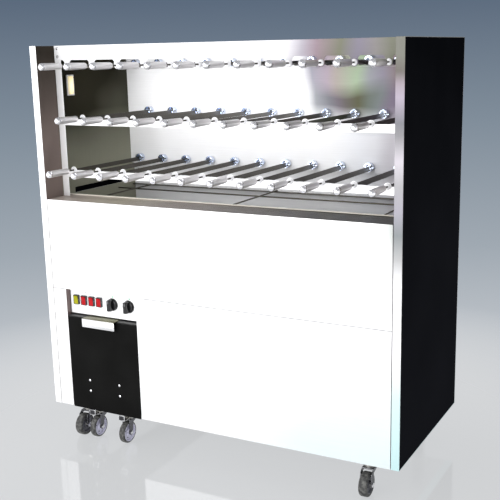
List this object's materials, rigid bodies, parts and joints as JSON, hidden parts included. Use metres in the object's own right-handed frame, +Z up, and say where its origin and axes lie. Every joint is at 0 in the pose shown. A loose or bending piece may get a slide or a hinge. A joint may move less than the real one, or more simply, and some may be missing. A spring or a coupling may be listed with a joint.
{
  "type": "rotisserie oven",
  "caption": "Free-standing stainless rotisserie oven with rows of motor-driven skewers, an open front, a firebox, rocker switches, knobs and a roll-out trolley.",
  "frame": {"origin": "on the floor under the centre of the whole machine's bounding box (skewer handles and gas inlet included)", "axes": "+Z up (longest side), +X to the right seen from the front, -Y towards the front with the skewer handles, +Y (shortest side) to the rear cover"},
  "size_m": [1.5, 0.75, 1.573],
  "materials": {
    "stainless_front": "polished",
    "black_cover": "satin",
    "stainless_frame": "satin",
    "stainless_rail": "polished",
    "panel_white": "satin",
    "lamp_cream": "glossy",
    "burner_steel": "dull",
    "drive_steel": "satin",
    "skewer_steel": "polished",
    "knob_black": "glossy",
    "switch_yellow": "glossy",
    "switch_red": "glossy",
    "trolley_black": "matte",
    "zinc": "satin",
    "tyre_dark": "matte"
  },
  "bodies": {
    "cabinet": {"side_walls": "stainless_front", "side_covers": "black_cover", "base_frame": "stainless_frame", "back_wall": "stainless_front", "rear_cover": "stainless_front", "roof_hood": "stainless_front", "skewer_rails": "stainless_rail", "front_panels": "stainless_front", "control_panel": "panel_white", "chamber_lamp": "lamp_cream", "burner_bed": "burner_steel", "row_drives": "drive_steel"},
    "skewer_top_01": {"skewer_top_01": "skewer_steel"},
    "skewer_top_02": {"skewer_top_02": "skewer_steel"},
    "skewer_top_03": {"skewer_top_03": "skewer_steel"},
    "skewer_top_04": {"skewer_top_04": "skewer_steel"},
    "skewer_top_05": {"skewer_top_05": "skewer_steel"},
    "skewer_top_06": {"skewer_top_06": "skewer_steel"},
    "skewer_top_07": {"skewer_top_07": "skewer_steel"},
    "skewer_top_08": {"skewer_top_08": "skewer_steel"},
    "skewer_top_09": {"skewer_top_09": "skewer_steel"},
    "skewer_top_10": {"skewer_top_10": "skewer_steel"},
    "skewer_top_11": {"skewer_top_11": "skewer_steel"},
    "skewer_top_12": {"skewer_top_12": "skewer_steel"},
    "skewer_middle_01": {"skewer_middle_01": "skewer_steel"},
    "skewer_middle_02": {"skewer_middle_02": "skewer_steel"},
    "skewer_middle_03": {"skewer_middle_03": "skewer_steel"},
    "skewer_middle_04": {"skewer_middle_04": "skewer_steel"},
    "skewer_middle_05": {"skewer_middle_05": "skewer_steel"},
    "skewer_middle_06": {"skewer_middle_06": "skewer_steel"},
    "skewer_middle_07": {"skewer_middle_07": "skewer_steel"},
    "skewer_middle_08": {"skewer_middle_08": "skewer_steel"},
    "skewer_middle_09": {"skewer_middle_09": "skewer_steel"},
    "skewer_middle_10": {"skewer_middle_10": "skewer_steel"},
    "skewer_middle_11": {"skewer_middle_11": "skewer_steel"},
    "skewer_bottom_01": {"skewer_bottom_01": "skewer_steel"},
    "skewer_bottom_02": {"skewer_bottom_02": "skewer_steel"},
    "skewer_bottom_03": {"skewer_bottom_03": "skewer_steel"},
    "skewer_bottom_04": {"skewer_bottom_04": "skewer_steel"},
    "skewer_bottom_05": {"skewer_bottom_05": "skewer_steel"},
    "skewer_bottom_06": {"skewer_bottom_06": "skewer_steel"},
    "skewer_bottom_07": {"skewer_bottom_07": "skewer_steel"},
    "skewer_bottom_08": {"skewer_bottom_08": "skewer_steel"},
    "skewer_bottom_09": {"skewer_bottom_09": "skewer_steel"},
    "skewer_bottom_10": {"skewer_bottom_10": "skewer_steel"},
    "skewer_bottom_11": {"skewer_bottom_11": "skewer_steel"},
    "skewer_bottom_12": {"skewer_bottom_12": "skewer_steel"},
    "knob_left": {"knob_left": "knob_black"},
    "knob_right": {"knob_right": "knob_black"},
    "switch_yellow": {"switch_yellow": "switch_yellow"},
    "switch_red_1": {"switch_red_1": "switch_red"},
    "switch_red_2": {"switch_red_2": "switch_red"},
    "switch_red_3": {"switch_red_3": "switch_red"},
    "trolley": {"trolley": "trolley_black"},
    "trolley_wheels": {"trolley_wheels": "tyre_dark"},
    "caster_front_left_fork": {"caster_front_left_fork": "zinc"},
    "caster_front_left_wheel": {"caster_front_left_wheel": "tyre_dark"},
    "caster_front_right_fork": {"caster_front_right_fork": "zinc"},
    "caster_front_right_wheel": {"caster_front_right_wheel": "tyre_dark"},
    "rear_wheels": {"rear_wheels": "tyre_dark"}
  },
  "joints": [
    {"name": "skewer_top_01_spin", "type": "hinge", "parent": "cabinet", "child": "skewer_top_01", "pos_m": [-0.66, -0.215, 1.4955], "axis": [0, 1, 0], "continuous": true},
    {"name": "skewer_top_02_spin", "type": "hinge", "parent": "cabinet", "child": "skewer_top_02", "pos_m": [-0.54, -0.215, 1.4955], "axis": [0, 1, 0], "continuous": true},
    {"name": "skewer_top_03_spin", "type": "hinge", "parent": "cabinet", "child": "skewer_top_03", "pos_m": [-0.42, -0.215, 1.4955], "axis": [0, 1, 0], "continuous": true},
    {"name": "skewer_top_04_spin", "type": "hinge", "parent": "cabinet", "child": "skewer_top_04", "pos_m": [-0.3, -0.215, 1.4955], "axis": [0, 1, 0], "continuous": true},
    {"name": "skewer_top_05_spin", "type": "hinge", "parent": "cabinet", "child": "skewer_top_05", "pos_m": [-0.18, -0.215, 1.4955], "axis": [0, 1, 0], "continuous": true},
    {"name": "skewer_top_06_spin", "type": "hinge", "parent": "cabinet", "child": "skewer_top_06", "pos_m": [-0.06, -0.215, 1.4955], "axis": [0, 1, 0], "continuous": true},
    {"name": "skewer_top_07_spin", "type": "hinge", "parent": "cabinet", "child": "skewer_top_07", "pos_m": [0.06, -0.215, 1.4955], "axis": [0, 1, 0], "continuous": true},
    {"name": "skewer_top_08_spin", "type": "hinge", "parent": "cabinet", "child": "skewer_top_08", "pos_m": [0.18, -0.215, 1.4955], "axis": [0, 1, 0], "continuous": true},
    {"name": "skewer_top_09_spin", "type": "hinge", "parent": "cabinet", "child": "skewer_top_09", "pos_m": [0.3, -0.215, 1.4955], "axis": [0, 1, 0], "continuous": true},
    {"name": "skewer_top_10_spin", "type": "hinge", "parent": "cabinet", "child": "skewer_top_10", "pos_m": [0.42, -0.215, 1.4955], "axis": [0, 1, 0], "continuous": true},
    {"name": "skewer_top_11_spin", "type": "hinge", "parent": "cabinet", "child": "skewer_top_11", "pos_m": [0.54, -0.215, 1.4955], "axis": [0, 1, 0], "continuous": true},
    {"name": "skewer_top_12_spin", "type": "hinge", "parent": "cabinet", "child": "skewer_top_12", "pos_m": [0.66, -0.215, 1.4955], "axis": [0, 1, 0], "continuous": true},
    {"name": "skewer_middle_01_spin", "type": "hinge", "parent": "cabinet", "child": "skewer_middle_01", "pos_m": [-0.6, -0.215, 1.295], "axis": [0, 1, 0], "continuous": true},
    {"name": "skewer_middle_02_spin", "type": "hinge", "parent": "cabinet", "child": "skewer_middle_02", "pos_m": [-0.48, -0.215, 1.295], "axis": [0, 1, 0], "continuous": true},
    {"name": "skewer_middle_03_spin", "type": "hinge", "parent": "cabinet", "child": "skewer_middle_03", "pos_m": [-0.36, -0.215, 1.295], "axis": [0, 1, 0], "continuous": true},
    {"name": "skewer_middle_04_spin", "type": "hinge", "parent": "cabinet", "child": "skewer_middle_04", "pos_m": [-0.24, -0.215, 1.295], "axis": [0, 1, 0], "continuous": true},
    {"name": "skewer_middle_05_spin", "type": "hinge", "parent": "cabinet", "child": "skewer_middle_05", "pos_m": [-0.12, -0.215, 1.295], "axis": [0, 1, 0], "continuous": true},
    {"name": "skewer_middle_06_spin", "type": "hinge", "parent": "cabinet", "child": "skewer_middle_06", "pos_m": [0, -0.215, 1.295], "axis": [0, 1, 0], "continuous": true},
    {"name": "skewer_middle_07_spin", "type": "hinge", "parent": "cabinet", "child": "skewer_middle_07", "pos_m": [0.12, -0.215, 1.295], "axis": [0, 1, 0], "continuous": true},
    {"name": "skewer_middle_08_spin", "type": "hinge", "parent": "cabinet", "child": "skewer_middle_08", "pos_m": [0.24, -0.215, 1.295], "axis": [0, 1, 0], "continuous": true},
    {"name": "skewer_middle_09_spin", "type": "hinge", "parent": "cabinet", "child": "skewer_middle_09", "pos_m": [0.36, -0.215, 1.295], "axis": [0, 1, 0], "continuous": true},
    {"name": "skewer_middle_10_spin", "type": "hinge", "parent": "cabinet", "child": "skewer_middle_10", "pos_m": [0.48, -0.215, 1.295], "axis": [0, 1, 0], "continuous": true},
    {"name": "skewer_middle_11_spin", "type": "hinge", "parent": "cabinet", "child": "skewer_middle_11", "pos_m": [0.6, -0.215, 1.295], "axis": [0, 1, 0], "continuous": true},
    {"name": "skewer_bottom_01_spin", "type": "hinge", "parent": "cabinet", "child": "skewer_bottom_01", "pos_m": [-0.66, -0.215, 1.089], "axis": [0, 1, 0], "continuous": true},
    {"name": "skewer_bottom_02_spin", "type": "hinge", "parent": "cabinet", "child": "skewer_bottom_02", "pos_m": [-0.54, -0.215, 1.089], "axis": [0, 1, 0], "continuous": true},
    {"name": "skewer_bottom_03_spin", "type": "hinge", "parent": "cabinet", "child": "skewer_bottom_03", "pos_m": [-0.42, -0.215, 1.089], "axis": [0, 1, 0], "continuous": true},
    {"name": "skewer_bottom_04_spin", "type": "hinge", "parent": "cabinet", "child": "skewer_bottom_04", "pos_m": [-0.3, -0.215, 1.089], "axis": [0, 1, 0], "continuous": true},
    {"name": "skewer_bottom_05_spin", "type": "hinge", "parent": "cabinet", "child": "skewer_bottom_05", "pos_m": [-0.18, -0.215, 1.089], "axis": [0, 1, 0], "continuous": true},
    {"name": "skewer_bottom_06_spin", "type": "hinge", "parent": "cabinet", "child": "skewer_bottom_06", "pos_m": [-0.06, -0.215, 1.089], "axis": [0, 1, 0], "continuous": true},
    {"name": "skewer_bottom_07_spin", "type": "hinge", "parent": "cabinet", "child": "skewer_bottom_07", "pos_m": [0.06, -0.215, 1.089], "axis": [0, 1, 0], "continuous": true},
    {"name": "skewer_bottom_08_spin", "type": "hinge", "parent": "cabinet", "child": "skewer_bottom_08", "pos_m": [0.18, -0.215, 1.089], "axis": [0, 1, 0], "continuous": true},
    {"name": "skewer_bottom_09_spin", "type": "hinge", "parent": "cabinet", "child": "skewer_bottom_09", "pos_m": [0.3, -0.215, 1.089], "axis": [0, 1, 0], "continuous": true},
    {"name": "skewer_bottom_10_spin", "type": "hinge", "parent": "cabinet", "child": "skewer_bottom_10", "pos_m": [0.42, -0.215, 1.089], "axis": [0, 1, 0], "continuous": true},
    {"name": "skewer_bottom_11_spin", "type": "hinge", "parent": "cabinet", "child": "skewer_bottom_11", "pos_m": [0.54, -0.215, 1.089], "axis": [0, 1, 0], "continuous": true},
    {"name": "skewer_bottom_12_spin", "type": "hinge", "parent": "cabinet", "child": "skewer_bottom_12", "pos_m": [0.66, -0.215, 1.089], "axis": [0, 1, 0], "continuous": true},
    {"name": "knob_left_turn", "type": "hinge", "parent": "cabinet", "child": "knob_left", "pos_m": [-0.446, -0.2965, 0.5765], "axis": [0, 1, 0], "range_deg": [0, 270]},
    {"name": "knob_right_turn", "type": "hinge", "parent": "cabinet", "child": "knob_right", "pos_m": [-0.3675, -0.2965, 0.5765], "axis": [0, 1, 0], "range_deg": [0, 180]},
    {"name": "switch_yellow_rock", "type": "hinge", "parent": "cabinet", "child": "switch_yellow", "pos_m": [-0.62, -0.302, 0.5795], "axis": [1, 0, 0], "range_deg": [-14, 0]},
    {"name": "switch_red_1_rock", "type": "hinge", "parent": "cabinet", "child": "switch_red_1", "pos_m": [-0.5825, -0.302, 0.5795], "axis": [1, 0, 0], "range_deg": [-14, 0]},
    {"name": "switch_red_2_rock", "type": "hinge", "parent": "cabinet", "child": "switch_red_2", "pos_m": [-0.545, -0.302, 0.5795], "axis": [1, 0, 0], "range_deg": [-14, 0]},
    {"name": "switch_red_3_rock", "type": "hinge", "parent": "cabinet", "child": "switch_red_3", "pos_m": [-0.5075, -0.302, 0.5795], "axis": [1, 0, 0], "range_deg": [-14, 0]},
    {"name": "trolley_slide", "type": "slide", "parent": "cabinet", "child": "trolley", "axis": [0, -1, 0], "range_m": [0, 0.5]},
    {"name": "trolley_wheels_roll", "type": "hinge", "parent": "trolley", "child": "trolley_wheels", "pos_m": [-0.484, -0.291, 0.0445], "axis": [1, 0, 0], "continuous": true},
    {"name": "caster_front_left_swivel", "type": "hinge", "parent": "cabinet", "child": "caster_front_left_fork", "pos_m": [-0.623, -0.264, 0.11], "axis": [0, 0, 1], "range_deg": [-180, 10]},
    {"name": "caster_front_left_roll", "type": "hinge", "parent": "caster_front_left_fork", "child": "caster_front_left_wheel", "pos_m": [-0.623, -0.299, 0.0445], "axis": [1, 0, 0], "continuous": true},
    {"name": "caster_front_right_swivel", "type": "hinge", "parent": "cabinet", "child": "caster_front_right_fork", "pos_m": [0.623, -0.264, 0.11], "axis": [0, 0, 1], "continuous": true},
    {"name": "caster_front_right_roll", "type": "hinge", "parent": "caster_front_right_fork", "child": "caster_front_right_wheel", "pos_m": [0.623, -0.299, 0.0445], "axis": [1, 0, 0], "continuous": true},
    {"name": "rear_wheels_roll", "type": "hinge", "parent": "cabinet", "child": "rear_wheels", "pos_m": [0, 0.289, 0.0445], "axis": [1, 0, 0], "continuous": true}
  ],
  "couplings": [
    {"joint": "skewer_top_02_spin", "follows": "skewer_top_01_spin", "ratio": 1},
    {"joint": "skewer_top_03_spin", "follows": "skewer_top_01_spin", "ratio": 1},
    {"joint": "skewer_top_04_spin", "follows": "skewer_top_01_spin", "ratio": 1},
    {"joint": "skewer_top_05_spin", "follows": "skewer_top_01_spin", "ratio": 1},
    {"joint": "skewer_top_06_spin", "follows": "skewer_top_01_spin", "ratio": 1},
    {"joint": "skewer_top_07_spin", "follows": "skewer_top_01_spin", "ratio": 1},
    {"joint": "skewer_top_08_spin", "follows": "skewer_top_01_spin", "ratio": 1},
    {"joint": "skewer_top_09_spin", "follows": "skewer_top_01_spin", "ratio": 1},
    {"joint": "skewer_top_10_spin", "follows": "skewer_top_01_spin", "ratio": 1},
    {"joint": "skewer_top_11_spin", "follows": "skewer_top_01_spin", "ratio": 1},
    {"joint": "skewer_top_12_spin", "follows": "skewer_top_01_spin", "ratio": 1},
    {"joint": "skewer_middle_02_spin", "follows": "skewer_middle_01_spin", "ratio": 1},
    {"joint": "skewer_middle_03_spin", "follows": "skewer_middle_01_spin", "ratio": 1},
    {"joint": "skewer_middle_04_spin", "follows": "skewer_middle_01_spin", "ratio": 1},
    {"joint": "skewer_middle_05_spin", "follows": "skewer_middle_01_spin", "ratio": 1},
    {"joint": "skewer_middle_06_spin", "follows": "skewer_middle_01_spin", "ratio": 1},
    {"joint": "skewer_middle_07_spin", "follows": "skewer_middle_01_spin", "ratio": 1},
    {"joint": "skewer_middle_08_spin", "follows": "skewer_middle_01_spin", "ratio": 1},
    {"joint": "skewer_middle_09_spin", "follows": "skewer_middle_01_spin", "ratio": 1},
    {"joint": "skewer_middle_10_spin", "follows": "skewer_middle_01_spin", "ratio": 1},
    {"joint": "skewer_middle_11_spin", "follows": "skewer_middle_01_spin", "ratio": 1},
    {"joint": "skewer_bottom_02_spin", "follows": "skewer_bottom_01_spin", "ratio": 1},
    {"joint": "skewer_bottom_03_spin", "follows": "skewer_bottom_01_spin", "ratio": 1},
    {"joint": "skewer_bottom_04_spin", "follows": "skewer_bottom_01_spin", "ratio": 1},
    {"joint": "skewer_bottom_05_spin", "follows": "skewer_bottom_01_spin", "ratio": 1},
    {"joint": "skewer_bottom_06_spin", "follows": "skewer_bottom_01_spin", "ratio": 1},
    {"joint": "skewer_bottom_07_spin", "follows": "skewer_bottom_01_spin", "ratio": 1},
    {"joint": "skewer_bottom_08_spin", "follows": "skewer_bottom_01_spin", "ratio": 1},
    {"joint": "skewer_bottom_09_spin", "follows": "skewer_bottom_01_spin", "ratio": 1},
    {"joint": "skewer_bottom_10_spin", "follows": "skewer_bottom_01_spin", "ratio": 1},
    {"joint": "skewer_bottom_11_spin", "follows": "skewer_bottom_01_spin", "ratio": 1},
    {"joint": "skewer_bottom_12_spin", "follows": "skewer_bottom_01_spin", "ratio": 1}
  ]
}
